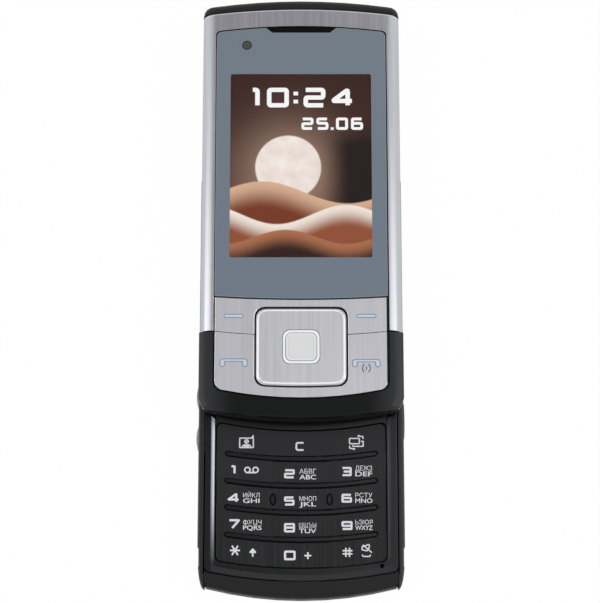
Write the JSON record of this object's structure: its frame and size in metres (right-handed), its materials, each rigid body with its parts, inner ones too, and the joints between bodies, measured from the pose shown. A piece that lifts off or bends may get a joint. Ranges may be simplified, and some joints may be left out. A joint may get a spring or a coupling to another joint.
{
  "type": "slider phone",
  "caption": "Slim slider mobile phone, open: the display half slides up a grooved steel plate to bare a curved keypad.",
  "frame": {"origin": "middle of the open phone's outline on the plane of its back, with the slider fully out", "axes": "+X to the user's right, +Y up the phone to the earpiece and along the slide, +Z out of the display"},
  "size_m": [0.0491, 0.1448, 0.015],
  "materials": {
    "black_plastic": "fine satin black",
    "bezel_plastic": "smooth dark grey, half gloss",
    "key_plastic": "smooth black, satin",
    "rail_steel": "brushed across, bright",
    "key_steel": "brushed along the phone",
    "clear_plastic": "clear, silvered behind",
    "window_glass": "flat lens painted blue-grey behind",
    "display": "lit display",
    "lens_glass": "dark coated lens",
    "mesh": "black woven mesh",
    "slide_steel": "plain rolled steel",
    "board": "green solder mask",
    "flex": "amber film",
    "dome_rubber": "grey silicone",
    "cell": "dark grey film",
    "brass": "plain"
  },
  "bodies": {
    "base": {"rear_housing": "black_plastic", "bottom_cap": "black_plastic", "base_front_case": "bezel_plastic", "slide_base_plate": "slide_steel", "main_pcb": "board", "key_mat": "dome_rubber", "battery": "cell", "sim_holder": "slide_steel", "rear_camera_module": "black_plastic", "rear_camera_window": "lens_glass", "loudspeaker": "cell", "vibration_motor": "slide_steel", "microphone": "brass", "io_connector": "slide_steel", "antenna_carrier": "flex", "case_screw_1": "slide_steel", "case_screw_2": "slide_steel", "case_screw_3": "slide_steel", "case_screw_4": "slide_steel", "slide_spring_left": "slide_steel", "slide_spring_right": "slide_steel", "slider_flex": "flex"},
    "slider": {"slider_rear_case": "black_plastic", "slider_front_frame": "rail_steel", "slider_chin": "black_plastic", "display_window": "window_glass", "earpiece_mesh": "mesh", "front_camera": "lens_glass", "lcd_module": "display", "earpiece_speaker": "cell", "slider_pcb": "board", "slider_dome_sheet": "dome_rubber", "slide_plate": "slide_steel"},
    "battery_cover": {"battery_cover": "black_plastic"},
    "vibration_weight": {"vibration_weight": "brass"},
    "port_cover": {"port_cover": "black_plastic"},
    "volume_rocker": {"volume_rocker": "clear_plastic"},
    "camera_key": {"camera_key": "black_plastic"},
    "soft_keys": {"soft_key_plate": "key_steel"},
    "call_keys": {"call_key_plate": "key_steel"},
    "nav_web": {"nav_key_web": "dome_rubber"},
    "nav_pad": {"nav_pad": "key_steel", "nav_ring": "clear_plastic"},
    "ok_key": {"ok_key": "clear_plastic"},
    "key_0_0": {"key_0_0": "key_plastic"},
    "key_0_1": {"key_0_1": "key_plastic"},
    "key_0_2": {"key_0_2": "key_plastic"},
    "key_1_0": {"key_1_0": "key_plastic"},
    "key_1_1": {"key_1_1": "key_plastic"},
    "key_1_2": {"key_1_2": "key_plastic"},
    "key_2_0": {"key_2_0": "key_plastic"},
    "key_2_1": {"key_2_1": "key_plastic"},
    "key_2_2": {"key_2_2": "key_plastic"},
    "key_3_0": {"key_3_0": "key_plastic"},
    "key_3_1": {"key_3_1": "key_plastic"},
    "key_3_2": {"key_3_2": "key_plastic"},
    "key_4_0": {"key_4_0": "key_plastic"},
    "key_4_1": {"key_4_1": "key_plastic"},
    "key_4_2": {"key_4_2": "key_plastic"}
  },
  "joints": [
    {"name": "slide", "type": "slide", "parent": "base", "child": "slider", "axis": [0, 1, 0], "range_m": [-0.041, 0], "deforming": ["slide_spring_left", "slide_spring_right", "slider_flex"]},
    {"name": "battery_cover_lift", "type": "slide", "parent": "base", "child": "battery_cover", "axis": [0, 0, -1], "range_m": [0, 0.016]},
    {"name": "vibration_spin", "type": "hinge", "parent": "base", "child": "vibration_weight", "pos_m": [0.0135, 0.0208, 0.00365], "axis": [0, 1, 0], "continuous": true},
    {"name": "port_cover_hinge", "type": "hinge", "parent": "base", "child": "port_cover", "pos_m": [-0.0237, -0.0545, 0.0022], "axis": [0, -1, 0], "range_deg": [0, 95]},
    {"name": "volume_rock", "type": "hinge", "parent": "base", "child": "volume_rocker", "pos_m": [-0.0232, -0.02988, 0.00445], "axis": [0, 0, 1], "range_deg": [-1.5, 1.5], "stiffness_Nm_per_rad": 0.3},
    {"name": "camera_key_press", "type": "slide", "parent": "base", "child": "camera_key", "axis": [-1, 0, 0], "range_m": [0, 0.0003], "stiffness_N_per_m": 2500},
    {"name": "soft_keys_rock", "type": "hinge", "parent": "slider", "child": "soft_keys", "pos_m": [0, -0.0078, 0.0139], "axis": [0, 1, 0], "range_deg": [-0.85, 0.85], "stiffness_Nm_per_rad": 1.2},
    {"name": "call_keys_rock", "type": "hinge", "parent": "slider", "child": "call_keys", "pos_m": [0, -0.0181, 0.0139], "axis": [0, 1, 0], "range_deg": [-0.85, 0.85], "stiffness_Nm_per_rad": 1.2},
    {"name": "nav_up_down", "type": "hinge", "parent": "slider", "child": "nav_web", "pos_m": [0, -0.01466, 0.0134], "axis": [1, 0, 0], "range_deg": [-1.6, 1.6], "stiffness_Nm_per_rad": 0.4},
    {"name": "nav_left_right", "type": "hinge", "parent": "nav_web", "child": "nav_pad", "pos_m": [0, -0.01466, 0.0139], "axis": [0, 1, 0], "range_deg": [-1.4, 1.4], "stiffness_Nm_per_rad": 0.4},
    {"name": "ok_press", "type": "slide", "parent": "slider", "child": "ok_key", "axis": [0, 0, -1], "range_m": [0, 0.00025], "stiffness_N_per_m": 2500},
    {"name": "key_0_0_press", "type": "slide", "parent": "base", "child": "key_0_0", "axis": [0, 0, -1], "range_m": [0, 0.00025], "stiffness_N_per_m": 2500},
    {"name": "key_0_1_press", "type": "slide", "parent": "base", "child": "key_0_1", "axis": [0, 0, -1], "range_m": [0, 0.00025], "stiffness_N_per_m": 2500},
    {"name": "key_0_2_press", "type": "slide", "parent": "base", "child": "key_0_2", "axis": [0, 0, -1], "range_m": [0, 0.00025], "stiffness_N_per_m": 2500},
    {"name": "key_1_0_press", "type": "slide", "parent": "base", "child": "key_1_0", "axis": [0, 0, -1], "range_m": [0, 0.00025], "stiffness_N_per_m": 2500},
    {"name": "key_1_1_press", "type": "slide", "parent": "base", "child": "key_1_1", "axis": [0, 0, -1], "range_m": [0, 0.00025], "stiffness_N_per_m": 2500},
    {"name": "key_1_2_press", "type": "slide", "parent": "base", "child": "key_1_2", "axis": [0, 0, -1], "range_m": [0, 0.00025], "stiffness_N_per_m": 2500},
    {"name": "key_2_0_press", "type": "slide", "parent": "base", "child": "key_2_0", "axis": [0, 0, -1], "range_m": [0, 0.00025], "stiffness_N_per_m": 2500},
    {"name": "key_2_1_press", "type": "slide", "parent": "base", "child": "key_2_1", "axis": [0, 0, -1], "range_m": [0, 0.00025], "stiffness_N_per_m": 2500},
    {"name": "key_2_2_press", "type": "slide", "parent": "base", "child": "key_2_2", "axis": [0, 0, -1], "range_m": [0, 0.00025], "stiffness_N_per_m": 2500},
    {"name": "key_3_0_press", "type": "slide", "parent": "base", "child": "key_3_0", "axis": [0, 0, -1], "range_m": [0, 0.00025], "stiffness_N_per_m": 2500},
    {"name": "key_3_1_press", "type": "slide", "parent": "base", "child": "key_3_1", "axis": [0, 0, -1], "range_m": [0, 0.00025], "stiffness_N_per_m": 2500},
    {"name": "key_3_2_press", "type": "slide", "parent": "base", "child": "key_3_2", "axis": [0, 0, -1], "range_m": [0, 0.00025], "stiffness_N_per_m": 2500},
    {"name": "key_4_0_press", "type": "slide", "parent": "base", "child": "key_4_0", "axis": [0, 0, -1], "range_m": [0, 0.00025], "stiffness_N_per_m": 2500},
    {"name": "key_4_1_press", "type": "slide", "parent": "base", "child": "key_4_1", "axis": [0, 0, -1], "range_m": [0, 0.00025], "stiffness_N_per_m": 2500},
    {"name": "key_4_2_press", "type": "slide", "parent": "base", "child": "key_4_2", "axis": [0, 0, -1], "range_m": [0, 0.00025], "stiffness_N_per_m": 2500}
  ]
}
